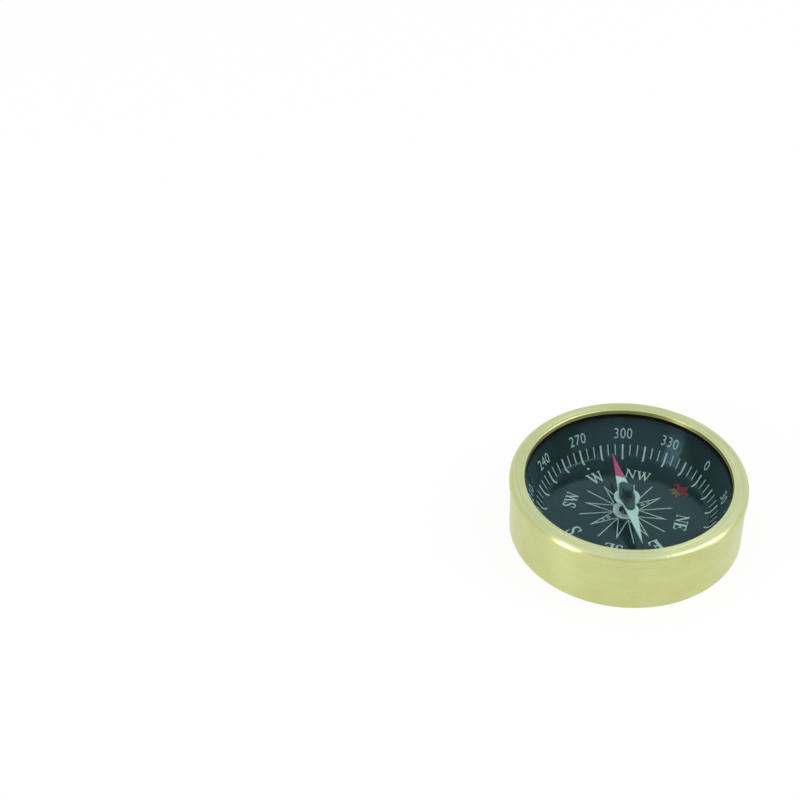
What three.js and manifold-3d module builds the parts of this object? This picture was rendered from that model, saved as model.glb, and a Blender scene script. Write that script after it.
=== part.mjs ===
// Brass magnetic compass: a drum with a screwed bezel, a flat glass, a dished dial and a needle on a point.
// Millimetres, +Z up. The origin is the centre of the base and +Y runs through the north mark of the dial.

import * as THREE from 'three';
import * as BufferGeometryUtils from 'three/addons/utils/BufferGeometryUtils.js';
import Module from 'manifold-3d';

const wasm = await Module();
wasm.setup();

// Clearances between pieces
const SEAT_GAP = 0.05; // flat faces that lie on each other
const BORE_GAP = 0.1; // a round piece in its bore
const THREAD_GAP = 0.05; // screw threads, drawn as plain cylinders

// Case: drum, base plate and bezel
const DRUM_RADIUS = 25;
const THREAD_WALL = 1; // drum wall outside the bezel thread
const LEDGE_WIDTH = 0.8; // ledge in the drum that carries the dial
const FOOT_CHAMFER = 0.15;
const BASE_THICKNESS = 1.6;
const BASE_LAND = 0.6; // step in the drum that the base plate is pressed against
const BEZEL_OVERHANG = 0.3; // bezel radius over the drum radius
const BEZEL_RIM_HEIGHT = 2.35; // from the top of the drum to the crown
const BEZEL_ROUNDING = 1.2; // outer edge of the crown
const BEZEL_TUCK = 0.25; // rounded lower edge of the rim
const BEZEL_BEVEL_WIDTH = 0.15; // broken inner edge beside the glass
const BEZEL_BEVEL_DROP = 0.4;
const SPIGOT_WALL = 0.6; // threaded skirt of the bezel
const SPIGOT_LENGTH = 2.4;
const SPIGOT_RUNOUT = 0.2; // room under the skirt
const LIP_OVERLAP = 1.2; // how far the lip reaches over the glass
const LIP_THICKNESS = 0.5; // below the broken edge

// Glass and gasket
const CRYSTAL_THICKNESS = 1.2;
const CRYSTAL_BEVEL = 0.2;
const GASKET_THICKNESS = 0.2;
const GASKET_WIDTH = 1.1;

// Dial
const DIAL_THICKNESS = 0.3;
const DIAL_DEPTH = 7.85; // from the rim down to the floor
const DIAL_WALL_RUN = 4.25; // how far the degree wall leans out
const DIAL_WALL_SAG = 1.1; // pull of the control point that hollows the wall

// Pivot
const PIVOT_FOOT_RADIUS = 2.8;
const PIVOT_FOOT_HEIGHT = 0.4;
const PIVOT_CONE_HEIGHT = 0.7;
const PIVOT_STEM_RADIUS = 0.9;
const PIVOT_SHANK_RADIUS = 1;
const PIVOT_TOP_CLEARANCE = 0.5; // from the stem up to the needle collar
const PIN_RADIUS = 0.35;
const PIN_SEAT_DEPTH = 1.6;
const PIN_POINT_LENGTH = 1.3;
const PIN_TIP_RADIUS = 0.05;
const WASHER_RADIUS = 2.6;
const WASHER_THICKNESS = 0.3;
const NUT_ACROSS_FLATS = 4;
const NUT_HEIGHT = 0.9;
const NUT_FLOOR_GAP = 0.5; // from the nut down to the base plate

// Needle
const NEEDLE_HEADING = 289.4; // dial bearing that the red end points at, degrees
const NEEDLE_TIP_CLEARANCE = 3.3; // from the tip to the foot of the degree wall
const BLADE_THICKNESS = 0.35;
const BLADE_HALF_WIDTH = 1.7; // of the two long sides, carried on to the middle
const HUB_RADIUS = 2.75;
const CAP_HEADROOM = 0.8; // from the cap to the glass
const CAP_HEIGHT = 3.05; // above the blade
const CAP_RADIUS = 1.28;
const CAP_ROUNDING = 0.55;
const CAP_ROOF = 0.5;
const CAP_FLANGE_WIDTH = 0.42; // beside the dome
const CAP_FLANGE_HEIGHT = 0.6;
const CAP_BORE_RADIUS = 0.75;
const CAP_SPIGOT_WALL = 0.4;
const LUG_REACH = 4.3; // from the middle to the end of a lug
const LUG_END_RADIUS = 0.95;
const JEWEL_RADIUS = 0.6;
const JEWEL_HEIGHT = 1.1;
const JEWEL_CUP_RADIUS = 0.4;
const JEWEL_CUP_DEPTH = 0.6;
const POINT_GAP = 0.1; // from the steel point to the bottom of the jewel's cup
const COLLAR_WIDTH = 0.75;
const COLLAR_HEIGHT = 0.45;

// Facets
const CASE_SEGMENTS = 60;
const SMALL_SEGMENTS = 24;
const ROUNDING_STEPS = 4;
const DIAL_WALL_STEPS = 5;

// Heights, from the base up to the crown
const nutBottom = BASE_THICKNESS + NUT_FLOOR_GAP;
const nutTop = nutBottom + NUT_HEIGHT;
const washerBottom = nutTop + SEAT_GAP;
const washerTop = washerBottom + WASHER_THICKNESS;
const dialUnder = washerTop + SEAT_GAP;
const dialFloor = dialUnder + DIAL_THICKNESS;
const dialRim = dialFloor + DIAL_DEPTH;
const ledgeTop = dialRim - DIAL_THICKNESS - SEAT_GAP;
const gasketBottom = dialRim + SEAT_GAP;
const gasketTop = gasketBottom + GASKET_THICKNESS;
const crystalBottom = gasketTop + SEAT_GAP;
const crystalTop = crystalBottom + CRYSTAL_THICKNESS;
const lipBottom = crystalTop + SEAT_GAP;
const lipTop = lipBottom + LIP_THICKNESS;
const crown = lipTop + BEZEL_BEVEL_DROP;
const rimBottom = crown - BEZEL_RIM_HEIGHT;
const drumTop = rimBottom - SEAT_GAP;
const spigotBottom = drumTop - SPIGOT_LENGTH;
const spigotGroove = spigotBottom - SPIGOT_RUNOUT;

// Heights of the needle, from the glass down to the pivot
const capTop = crystalBottom - CAP_HEADROOM;
const capSeat = capTop - CAP_HEIGHT;
const bladeTop = capSeat - SEAT_GAP;
const bladeBottom = bladeTop - BLADE_THICKNESS;
const collarTop = bladeBottom - SEAT_GAP;
const collarBottom = collarTop - COLLAR_HEIGHT;
const jewelTop = capTop - CAP_ROOF - BORE_GAP;
const jewelBottom = jewelTop - JEWEL_HEIGHT;
const pointTop = jewelBottom + JEWEL_CUP_DEPTH - POINT_GAP;
const stemTop = collarBottom - PIVOT_TOP_CLEARANCE;
const pinBottom = stemTop - PIN_SEAT_DEPTH;
const footBottom = dialFloor + SEAT_GAP;
const footTop = footBottom + PIVOT_FOOT_HEIGHT;

// Radii, from the outside of the case inwards
const bezelRadius = DRUM_RADIUS + BEZEL_OVERHANG;
const threadRadius = DRUM_RADIUS - THREAD_WALL;
const spigotRadius = threadRadius - THREAD_GAP;
const spigotBore = spigotRadius - SPIGOT_WALL;
const crystalRadius = spigotBore - BORE_GAP;
const openingRadius = crystalRadius - LIP_OVERLAP;
const ledgeRadius = spigotBore - BORE_GAP;
const drumBore = ledgeRadius - LEDGE_WIDTH;
const baseRadius = drumBore + BASE_LAND;
const dialWallOuter = drumBore - BORE_GAP;
const dialWallTop = dialWallOuter - DIAL_THICKNESS;
const dialFloorRadius = dialWallTop - DIAL_WALL_RUN;
const needleReach = dialFloorRadius - NEEDLE_TIP_CLEARANCE;
const capSpigotRadius = CAP_BORE_RADIUS + CAP_SPIGOT_WALL;
const bladeHole = capSpigotRadius + BORE_GAP;

const brass = { color: 0xc6ce94, roughness: 0.3, metalness: 1 };
const black = { color: 0x1d2426, roughness: 0.5, metalness: 0 };
const nickel = { color: 0xb4bdb6, roughness: 0.35, metalness: 1 };
const steel = { color: 0x9a9c9e, roughness: 0.25, metalness: 1 };

const compass = new THREE.Group();
const needle = new THREE.Group();
needle.rotation.z = -THREE.MathUtils.degToRad(NEEDLE_HEADING);
compass.add(needle);

function place(name, geometry, finish, group = compass) {
  const mesh = new THREE.Mesh(geometry, new THREE.MeshStandardMaterial(finish));
  mesh.name = name;
  group.add(mesh);
}

// Turned piece: the outline lists radius and height, outer walls upwards
function turned(outline, segments) {
  const points = outline.map(([radius, height]) => new THREE.Vector2(radius, height));
  return new THREE.LatheGeometry(points, segments).rotateX(Math.PI / 2);
}

// Turned ring: the outline closes on itself
function turnedRing(outline, segments) {
  return turned([...outline, outline[0]], segments);
}

function plainRing(inner, outer, bottom, top, segments) {
  const outline = [
    [inner, bottom],
    [outer, bottom],
    [outer, top],
    [inner, top],
  ];
  return turnedRing(outline, segments);
}

// Quarter of a circle in the outline, between two angles in degrees
function rounding(centreRadius, centreHeight, radius, from, to) {
  const points = [];
  for (let step = 0; step <= ROUNDING_STEPS; step += 1) {
    const angle = THREE.MathUtils.degToRad(from + ((to - from) * step) / ROUNDING_STEPS);
    points.push([centreRadius + radius * Math.cos(angle), centreHeight + radius * Math.sin(angle)]);
  }
  return points;
}

function extruded(shape, bottom, height, curveSegments) {
  const options = { depth: height, bevelEnabled: false, curveSegments };
  return new THREE.ExtrudeGeometry(shape, options).translate(0, 0, bottom);
}

function circleHole(radius) {
  return new THREE.Path().absarc(0, 0, radius, 0, 2 * Math.PI, true);
}

function solid(geometry) {
  const plain = geometry.clone();
  plain.deleteAttribute('normal');
  plain.deleteAttribute('uv');
  const merged = BufferGeometryUtils.mergeVertices(plain);
  const triVerts = new Uint32Array(merged.index.array);
  const vertProperties = new Float32Array(merged.attributes.position.array);
  return new wasm.Manifold(new wasm.Mesh({ numProp: 3, vertProperties, triVerts }));
}

function geometryOf(manifold) {
  const mesh = manifold.getMesh();
  const geometry = new THREE.BufferGeometry();
  geometry.setAttribute('position', new THREE.BufferAttribute(mesh.vertProperties, 3));
  geometry.setIndex(new THREE.BufferAttribute(mesh.triVerts, 1));
  return geometry;
}

function drum() {
  const rebate = baseRadius + SEAT_GAP;
  const shoulder = BASE_THICKNESS + SEAT_GAP;
  const outline = [
    [rebate, 0],
    [DRUM_RADIUS - FOOT_CHAMFER, 0],
    [DRUM_RADIUS, FOOT_CHAMFER],
    [DRUM_RADIUS, drumTop],
    [threadRadius, drumTop],
    [threadRadius, spigotGroove],
    [ledgeRadius, spigotGroove],
    [ledgeRadius, ledgeTop],
    [drumBore, ledgeTop],
    [drumBore, shoulder],
    [rebate, shoulder],
  ];
  return turnedRing(outline, CASE_SEGMENTS);
}

function basePlate() {
  const outline = [
    [0, 0],
    [baseRadius, 0],
    [baseRadius, BASE_THICKNESS],
    [0, BASE_THICKNESS],
  ];
  return turned(outline, CASE_SEGMENTS);
}

function bezel() {
  const outline = [
    [spigotBore, spigotBottom],
    [spigotRadius, spigotBottom],
    [spigotRadius, rimBottom],
    [bezelRadius - BEZEL_TUCK, rimBottom],
    [bezelRadius, rimBottom + BEZEL_TUCK],
    ...rounding(bezelRadius - BEZEL_ROUNDING, crown - BEZEL_ROUNDING, BEZEL_ROUNDING, 0, 90),
    [openingRadius + BEZEL_BEVEL_WIDTH, crown],
    [openingRadius, lipTop],
    [openingRadius, lipBottom],
    [spigotBore, lipBottom],
  ];
  return turnedRing(outline, CASE_SEGMENTS);
}

function crystal() {
  const outline = [
    [0, crystalBottom],
    [crystalRadius, crystalBottom],
    [crystalRadius, crystalTop - CRYSTAL_BEVEL],
    [crystalRadius - CRYSTAL_BEVEL, crystalTop],
    [0, crystalTop],
  ];
  return turned(outline, CASE_SEGMENTS);
}

// Points of the hollow degree wall from its foot to its top
function degreeWall(footRadius, footHeight, topHeight) {
  const foot = new THREE.Vector2(footRadius, footHeight);
  const top = new THREE.Vector2(footRadius + DIAL_WALL_RUN, topHeight);
  const pull = foot.clone().lerp(top, 0.5);
  pull.y -= DIAL_WALL_SAG;
  const curve = new THREE.QuadraticBezierCurve(foot, pull, top);
  return curve.getPoints(DIAL_WALL_STEPS).map((point) => [point.x, point.y]);
}

function dial() {
  const hole = PIVOT_SHANK_RADIUS + BORE_GAP;
  const rimUnder = dialRim - DIAL_THICKNESS;
  const inside = degreeWall(dialFloorRadius, dialFloor, dialRim).reverse();
  const outside = degreeWall(dialFloorRadius + DIAL_THICKNESS, dialUnder, rimUnder);
  const outline = [
    [hole, dialUnder],
    ...outside,
    [crystalRadius, rimUnder],
    [crystalRadius, dialRim],
    ...inside,
    [hole, dialFloor],
  ];
  return turnedRing(outline, CASE_SEGMENTS);
}

function pivotPost() {
  const pinBore = PIN_RADIUS + SEAT_GAP;
  const outline = [
    [0, nutBottom],
    [PIVOT_SHANK_RADIUS, nutBottom],
    [PIVOT_SHANK_RADIUS, footBottom],
    [PIVOT_FOOT_RADIUS, footBottom],
    [PIVOT_FOOT_RADIUS, footTop],
    [PIVOT_STEM_RADIUS + PIVOT_CONE_HEIGHT, footTop],
    [PIVOT_STEM_RADIUS, footTop + PIVOT_CONE_HEIGHT],
    [PIVOT_STEM_RADIUS, stemTop],
    [pinBore, stemTop],
    [pinBore, pinBottom - SEAT_GAP],
    [0, pinBottom - SEAT_GAP],
  ];
  return turned(outline, SMALL_SEGMENTS);
}

function pivotPin() {
  const outline = [
    [0, pinBottom],
    [PIN_RADIUS, pinBottom],
    [PIN_RADIUS, pointTop - PIN_POINT_LENGTH],
    [PIN_TIP_RADIUS, pointTop - PIN_TIP_RADIUS],
    [0, pointTop],
  ];
  return turned(outline, SMALL_SEGMENTS);
}

function pivotNut() {
  const cornerRadius = NUT_ACROSS_FLATS / Math.sqrt(3);
  const hexagon = new THREE.Shape();
  for (let corner = 0; corner < 6; corner += 1) {
    const angle = (corner * Math.PI) / 3;
    const x = cornerRadius * Math.cos(angle);
    const y = cornerRadius * Math.sin(angle);
    if (corner === 0) hexagon.moveTo(x, y);
    else hexagon.lineTo(x, y);
  }
  hexagon.closePath();
  hexagon.holes.push(circleHole(PIVOT_SHANK_RADIUS + THREAD_GAP));
  return extruded(hexagon, nutBottom, NUT_HEIGHT, SMALL_SEGMENTS);
}

// The blade points along +Y: two long straight sides that run into a round hub
function blade() {
  const lean = BLADE_HALF_WIDTH / needleReach;
  const a = 1 + lean * lean;
  const b = lean * BLADE_HALF_WIDTH;
  const c = BLADE_HALF_WIDTH * BLADE_HALF_WIDTH - HUB_RADIUS * HUB_RADIUS;
  const meetAlong = (b + Math.sqrt(b * b - a * c)) / a;
  const meetAcross = BLADE_HALF_WIDTH - lean * meetAlong;
  const angle = Math.atan2(meetAlong, meetAcross);
  const shape = new THREE.Shape();
  shape.moveTo(0, needleReach);
  shape.lineTo(-meetAcross, meetAlong);
  shape.absarc(0, 0, HUB_RADIUS, Math.PI - angle, Math.PI + angle, false);
  shape.lineTo(0, -needleReach);
  shape.lineTo(meetAcross, -meetAlong);
  shape.absarc(0, 0, HUB_RADIUS, -angle, angle, false);
  shape.closePath();
  shape.holes.push(circleHole(bladeHole));
  return extruded(shape, bladeBottom, BLADE_THICKNESS, SMALL_SEGMENTS / 2);
}

// The flange runs straight from the dome's sides into a round lug at each end
function capFlange() {
  const flangeRadius = CAP_RADIUS + CAP_FLANGE_WIDTH;
  const lugCentre = LUG_REACH - LUG_END_RADIUS;
  const lean = Math.asin((flangeRadius - LUG_END_RADIUS) / lugCentre);
  const shape = new THREE.Shape();
  shape.absarc(0, lugCentre, LUG_END_RADIUS, lean, Math.PI - lean, false);
  shape.absarc(0, 0, flangeRadius, Math.PI - lean, Math.PI + lean, false);
  shape.absarc(0, -lugCentre, LUG_END_RADIUS, Math.PI + lean, 2 * Math.PI - lean, false);
  shape.absarc(0, 0, flangeRadius, -lean, lean, false);
  shape.closePath();
  return extruded(shape, capSeat, CAP_FLANGE_HEIGHT, SMALL_SEGMENTS / 2);
}

// Dome and spigot are turned, the flange is joined on, and the bore is cut last
function cap() {
  const outline = [
    [0, collarBottom],
    [capSpigotRadius, collarBottom],
    [capSpigotRadius, capSeat],
    [CAP_RADIUS, capSeat],
    ...rounding(CAP_RADIUS - CAP_ROUNDING, capTop - CAP_ROUNDING, CAP_ROUNDING, 0, 90),
    [0, capTop],
  ];
  const boreTop = capTop - CAP_ROOF;
  const boreLength = boreTop - collarBottom + SEAT_GAP;
  const bore = new THREE.CylinderGeometry(CAP_BORE_RADIUS, CAP_BORE_RADIUS, boreLength, SMALL_SEGMENTS);
  bore.rotateX(Math.PI / 2).translate(0, 0, boreTop - boreLength / 2);
  const dome = solid(turned(outline, SMALL_SEGMENTS));
  return geometryOf(dome.add(solid(capFlange())).subtract(solid(bore)));
}

function jewel() {
  const outline = [
    [0, jewelBottom + JEWEL_CUP_DEPTH],
    [JEWEL_CUP_RADIUS, jewelBottom],
    [JEWEL_RADIUS, jewelBottom],
    [JEWEL_RADIUS, jewelTop],
    [0, jewelTop],
  ];
  return turned(outline, SMALL_SEGMENTS);
}

function needleCollar() {
  const inner = capSpigotRadius + SEAT_GAP;
  return plainRing(inner, inner + COLLAR_WIDTH, collarBottom, collarTop, SMALL_SEGMENTS);
}

function gasket() {
  return plainRing(crystalRadius - GASKET_WIDTH, crystalRadius, gasketBottom, gasketTop, CASE_SEGMENTS);
}

function washer() {
  const hole = PIVOT_SHANK_RADIUS + BORE_GAP;
  return plainRing(hole, WASHER_RADIUS, washerBottom, washerTop, SMALL_SEGMENTS);
}

place('case_drum', drum(), brass);
place('base_plate', basePlate(), brass);
place('bezel_ring', bezel(), brass);
place('crystal', crystal(), { color: 0xdfe8e6, roughness: 0.03, transparent: true, opacity: 0.25 });
place('crystal_gasket', gasket(), { color: 0x0c0d0e, roughness: 0.8 });
place('dial_cup', dial(), black);
place('pivot_post', pivotPost(), nickel);
place('pivot_washer', washer(), brass);
place('pivot_nut', pivotNut(), brass);
place('pivot_pin', pivotPin(), steel);
place('needle_blade', blade(), { color: 0xc4dad6, roughness: 0.45 }, needle);
place('needle_cap', cap(), { color: 0x1b2123, roughness: 0.3 }, needle);
place('needle_jewel', jewel(), { color: 0xa8c8c4, roughness: 0.05 }, needle);
place('needle_collar', needleCollar(), brass, needle);

export default compass;
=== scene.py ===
import math

import bmesh
import bpy
from mathutils import Matrix, Vector
from mathutils.geometry import interpolate_bezier


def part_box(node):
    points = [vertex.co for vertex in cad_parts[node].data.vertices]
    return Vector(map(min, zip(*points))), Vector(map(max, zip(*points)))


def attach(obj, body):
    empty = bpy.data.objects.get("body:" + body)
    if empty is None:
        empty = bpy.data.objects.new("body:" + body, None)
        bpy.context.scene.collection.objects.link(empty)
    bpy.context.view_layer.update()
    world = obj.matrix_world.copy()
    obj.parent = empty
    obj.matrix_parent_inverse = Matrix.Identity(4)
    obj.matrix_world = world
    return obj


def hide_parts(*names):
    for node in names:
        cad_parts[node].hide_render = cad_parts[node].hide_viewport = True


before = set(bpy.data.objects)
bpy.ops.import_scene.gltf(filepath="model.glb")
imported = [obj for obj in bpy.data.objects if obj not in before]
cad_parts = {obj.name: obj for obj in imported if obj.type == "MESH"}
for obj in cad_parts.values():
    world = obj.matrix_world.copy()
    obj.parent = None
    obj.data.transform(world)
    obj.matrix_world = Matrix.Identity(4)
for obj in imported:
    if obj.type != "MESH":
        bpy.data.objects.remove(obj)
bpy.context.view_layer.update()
print("frame loaded:", len(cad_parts), "nodes")

mm = 0.001
scene = bpy.context.scene

shop = {
    "caseSteps": 240,  # facets round the case
    "smallSteps": 72,  # facets round the pivot and the cap
    "holeSteps": 48,  # facets round a hole in a flat piece
    "weld": 1e-7,  # corners nearer than this are one
    "slack": 0.002 * mm,  # for finding a turned corner again
    "support": 1.15,  # roundings from a corner to the ring that keeps the face beside it flat
    "fine": 0.3 * mm,  # smaller roundings take fewer facets
    "fineFacets": 3,
    "wideFacets": 8,
    "sideSlope": 0.5,  # faces that look up less than this are sides
    "sharpAngle": math.radians(34),
}


# Pieces: turning on the axis with rounded corners, and handing a bmesh over

def turnOutline(corners, steps):  # a corner is (radius, height), or (radius, height, rounding)
    spots = [Vector(corner[:2]) for corner in corners]
    line = []
    for index, corner in enumerate(corners):
        spot = spots[index]
        beside = [spots[index - 1], spots[(index + 1) % len(spots)]]
        reach = shop["support"] * corner[2] if len(corner) > 2 else 0
        props = [spot + (other - spot).normalized() * reach for other in beside]
        line += [props[0], spot, props[1]] if reach else [spot]
    bm = bmesh.new()
    verts = [bm.verts.new((spot.x, 0, spot.y)) for spot in line]
    edges = [bm.edges.new(pair) for pair in zip(verts, verts[1:])]
    if line[0].x > 0:  # a ring closes on itself, a solid starts and ends on the axis
        edges.append(bm.edges.new((verts[-1], verts[0])))
    bmesh.ops.spin(
        bm, geom=verts + edges, cent=(0, 0, 0), axis=(0, 0, 1),
        angle=math.tau, steps=steps, use_merge=True,
    )
    bmesh.ops.remove_doubles(bm, verts=bm.verts[:], dist=shop["weld"])
    bmesh.ops.recalc_face_normals(bm, faces=bm.faces[:])
    for corner in corners:
        if len(corner) > 2:
            roundRing(bm, *corner)
    bm.normal_update()
    return bm


def onRing(vert, radius, height):
    away = max(abs(vert.co.xy.length - radius), abs(vert.co.z - height))
    return away < shop["slack"]


def roundRing(bm, radius, height, size):
    ring = [edge for edge in bm.edges if all(onRing(vert, radius, height) for vert in edge.verts)]
    facets = shop["fineFacets"] if size < shop["fine"] else shop["wideFacets"]
    bmesh.ops.bevel(
        bm, geom=ring, offset=size, offset_type="OFFSET", affect="EDGES",
        segments=facets, profile=0.5, material=-1,
    )


def raiseFlat(bm, height):
    made = bmesh.ops.extrude_face_region(bm, geom=bm.faces[:])["geom"]
    moved = [item for item in made if isinstance(item, bmesh.types.BMVert)]
    bmesh.ops.translate(bm, verts=moved, vec=(0, 0, height))
    bmesh.ops.recalc_face_normals(bm, faces=bm.faces[:])


def softenTop(bm, height, size):  # rounds the edges between the top and the sides
    rim = [
        edge for edge in bm.edges
        if all(abs(vert.co.z - height) < shop["weld"] for vert in edge.verts)
        and any(abs(face.normal.z) < shop["sideSlope"] for face in edge.link_faces)
    ]
    bmesh.ops.bevel(
        bm, geom=rim, offset=size, offset_type="OFFSET", affect="EDGES",
        segments=shop["fineFacets"], profile=0.5, material=-1, clamp_overlap=True,
    )


def sweep(first, last, steps):  # even angles, with both ends
    return [first + (last - first) * step / steps for step in range(steps + 1)]


def addPiece(name, bm, finishes, body, nodes=()):
    mesh = bpy.data.meshes.new(name)
    bm.to_mesh(mesh)
    bm.free()
    for finish in finishes:
        mesh.materials.append(finish)
    mesh.shade_smooth()
    mesh.set_sharp_from_angle(angle=shop["sharpAngle"])
    piece = bpy.data.objects.new(name, mesh)
    scene.collection.objects.link(piece)
    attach(piece, body)
    if nodes:
        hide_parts(*nodes)
    return piece


# Finishes: Principled surfaces fed by noise on Object coordinates
# A look gives each noise as scale, detail and grit, and a range as the noise values it runs between

def startFinish(name):
    finish = bpy.data.materials.new(name)
    finish.use_nodes = True
    tree = finish.node_tree
    tree.nodes.clear()
    output = tree.nodes.new("ShaderNodeOutputMaterial")
    skin = tree.nodes.new("ShaderNodeBsdfPrincipled")
    tree.links.new(skin.outputs["BSDF"], output.inputs["Surface"])
    return finish, tree, skin


def feed(tree, node, inputs):  # links sockets and sets plain values
    for key, value in inputs.items():
        if isinstance(value, bpy.types.NodeSocket):
            tree.links.new(value, node.inputs[key])
        else:
            node.inputs[key].default_value = value


def addNode(tree, kind, inputs=None, **settings):
    node = tree.nodes.new(kind)
    for key, value in settings.items():
        setattr(node, key, value)
    feed(tree, node, inputs or {})
    return node


def mixSurface(tree, share, first, second):  # takes the place of the plain surface
    mixed = addNode(tree, "ShaderNodeMixShader", {0: share, 1: first.outputs[0], 2: second.outputs[0]})
    output = next(node for node in tree.nodes if node.type == "OUTPUT_MATERIAL")
    tree.links.new(mixed.outputs[0], output.inputs["Surface"])


def objectPlace(tree):
    return addNode(tree, "ShaderNodeTexCoord").outputs["Object"]


def turnedPlace(tree, drift):
    axes = addNode(tree, "ShaderNodeSeparateXYZ", {0: objectPlace(tree)})
    flat = addNode(tree, "ShaderNodeCombineXYZ", {"X": axes.outputs["X"], "Y": axes.outputs["Y"]})
    radius = addNode(tree, "ShaderNodeVectorMath", {0: flat.outputs[0]}, operation="LENGTH")
    fade = addNode(tree, "ShaderNodeMath", {0: axes.outputs["X"], 1: drift}, operation="MULTIPLY")
    lathe = {"X": radius.outputs["Value"], "Y": fade.outputs[0], "Z": axes.outputs["Z"]}
    return addNode(tree, "ShaderNodeCombineXYZ", lathe).outputs[0]  # lines run round the axis


def noise(tree, place, scale, detail, grit=0.55):
    inputs = {"Vector": place, "Scale": scale, "Detail": detail, "Roughness": grit}
    return addNode(tree, "ShaderNodeTexNoise", inputs).outputs["Fac"]


def remap(tree, value, low, high, fromLow=0.3, fromHigh=0.7):
    inputs = {"Value": value, "From Min": fromLow, "From Max": fromHigh, "To Min": low, "To Max": high}
    return addNode(tree, "ShaderNodeMapRange", inputs).outputs["Result"]


def blendColours(tree, share, first, second):
    inputs = {0: share, 6: first, 7: second}
    return addNode(tree, "ShaderNodeMix", inputs, data_type="RGBA").outputs[2]


def bump(tree, height, look):
    inputs = {"Height": height, "Strength": look["bump"], "Distance": look["bumpDepth"]}
    return addNode(tree, "ShaderNodeBump", inputs).outputs["Normal"]


brassLook = {
    "pale": (0.61, 0.655, 0.29, 1),
    "deep": (0.53, 0.55, 0.21, 1),
    "clouds": (130, 4.0),
    "cloudTone": 0.55,  # share of the deep colour at the most
    "smears": (420, 5.0, 0.65),
    "smearTone": 0.35,
    "smearRange": (0.58, 0.72),
    "lines": (4200, 3.0),  # turning marks
    "lineDrift": 0.05,  # how much they change from side to side
    "rings": (1500, 3.0),
    "ringDrift": 0.02,
    "ringTone": 0.15,
    "ringRange": (0.42, 0.6),
    "roughness": (0.22, 0.34),
    "wearRange": (0.0, 0.45),
    "grain": 0.8,  # how far the turning spreads a shine across its lines
    "grainTurn": 0.25,
    "bump": 0.1,
    "bumpDepth": 0.02 * mm,
}

litCrownLook = {  # paler copy of the brass on the crown's upward faces: painted light
    **brassLook,
    "pale": (0.72, 0.79, 0.455, 1),
    "deep": (0.58, 0.645, 0.32, 1),
    "ringTone": 0.85,
    "roughness": (0.28, 0.4),
}

shadedLipLook = {  # darker copy of the brass inside the lip: painted shade and painted reflection of the dark dial
    **brassLook,
    "pale": (0.38, 0.39, 0.135, 1),
    "deep": (0.23, 0.23, 0.065, 1),
    "roughness": (0.36, 0.48),
}


def turnedBrass(name, look):
    finish, tree, skin = startFinish(name)
    lines = noise(tree, turnedPlace(tree, look["lineDrift"]), *look["lines"])
    rings = noise(tree, turnedPlace(tree, look["ringDrift"]), *look["rings"])
    clouds = noise(tree, objectPlace(tree), *look["clouds"])
    smears = noise(tree, objectPlace(tree), *look["smears"])
    tone = blendColours(tree, remap(tree, clouds, 0.0, look["cloudTone"]), look["pale"], look["deep"])
    bands = remap(tree, rings, 0.0, look["ringTone"], *look["ringRange"])
    tone = blendColours(tree, bands, tone, look["deep"])
    spots = remap(tree, smears, 0.0, look["smearTone"], *look["smearRange"])
    wear = addNode(tree, "ShaderNodeMath", {0: lines, 1: smears}, operation="MULTIPLY").outputs[0]
    around = addNode(tree, "ShaderNodeTangent", direction_type="RADIAL", axis="Z")
    feed(tree, skin, {
        "Base Color": blendColours(tree, spots, tone, look["deep"]),
        "Metallic": 1.0,
        "Roughness": remap(tree, wear, *look["roughness"], *look["wearRange"]),
        "Anisotropic": look["grain"],
        "Anisotropic Rotation": look["grainTurn"],
        "Tangent": around.outputs[0],
        "Normal": bump(tree, lines, look),
    })
    return finish


metalLook = {
    "lines": (9000, 3.0),
    "lineDrift": 0.1,
    "clouds": (600, 3.0),
    "cloudTone": 0.6,  # share of the dull colour at the most
    "bump": 0.08,
    "bumpDepth": 0.01 * mm,
}


def plainMetal(name, pale, dull, roughness):
    look = metalLook
    finish, tree, skin = startFinish(name)
    lines = noise(tree, turnedPlace(tree, look["lineDrift"]), *look["lines"])
    clouds = noise(tree, objectPlace(tree), *look["clouds"])
    feed(tree, skin, {
        "Base Color": blendColours(tree, remap(tree, clouds, 0.0, look["cloudTone"]), pale, dull),
        "Metallic": 1.0,
        "Roughness": remap(tree, lines, *roughness),
        "Normal": bump(tree, lines, look),
    })
    return finish


dialLook = {
    "lacquer": (0.006, 0.022, 0.026, 1),
    "haze": (0.008, 0.028, 0.033, 1),
    "clouds": (260, 4.0),
    "dust": (0.05, 0.08, 0.085, 1),
    "specks": (3600, 2.0),
    "speckTone": 0.5,
    "speckRange": (0.74, 0.82),
    "roughness": (0.05, 0.09),
    "gloss": 0.42,
    "glossTint": (0.42, 0.88, 1.0, 1),
    "bloom": 0.12,  # a thin film of dust, which shows at low angles
    "waves": (700, 2.0),
    "bump": 0.03,
    "bumpDepth": 0.01 * mm,
}


def dialLacquer(look):
    finish, tree, skin = startFinish("dialLacquer")
    clouds = noise(tree, objectPlace(tree), *look["clouds"])
    specks = noise(tree, objectPlace(tree), *look["specks"])
    waves = noise(tree, objectPlace(tree), *look["waves"])
    tone = blendColours(tree, remap(tree, clouds, 0.0, 1.0), look["lacquer"], look["haze"])
    dust = remap(tree, specks, 0.0, look["speckTone"], *look["speckRange"])
    feed(tree, skin, {
        "Base Color": blendColours(tree, dust, tone, look["dust"]),
        "Roughness": remap(tree, clouds, *look["roughness"]),
        "Specular IOR Level": look["gloss"],
        "Specular Tint": look["glossTint"],
        "Sheen Weight": look["bloom"],
        "Sheen Tint": look["glossTint"],
        "Normal": bump(tree, waves, look),
    })
    return finish


paintLook = {
    "clouds": (900, 4.0),
    "cloudTone": 0.6,  # share of the worn colour at the most
    "grain": (7000, 2.0),
    "gloss": 0.3,
    "bump": 0.08,
    "bumpDepth": 0.01 * mm,
}


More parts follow.
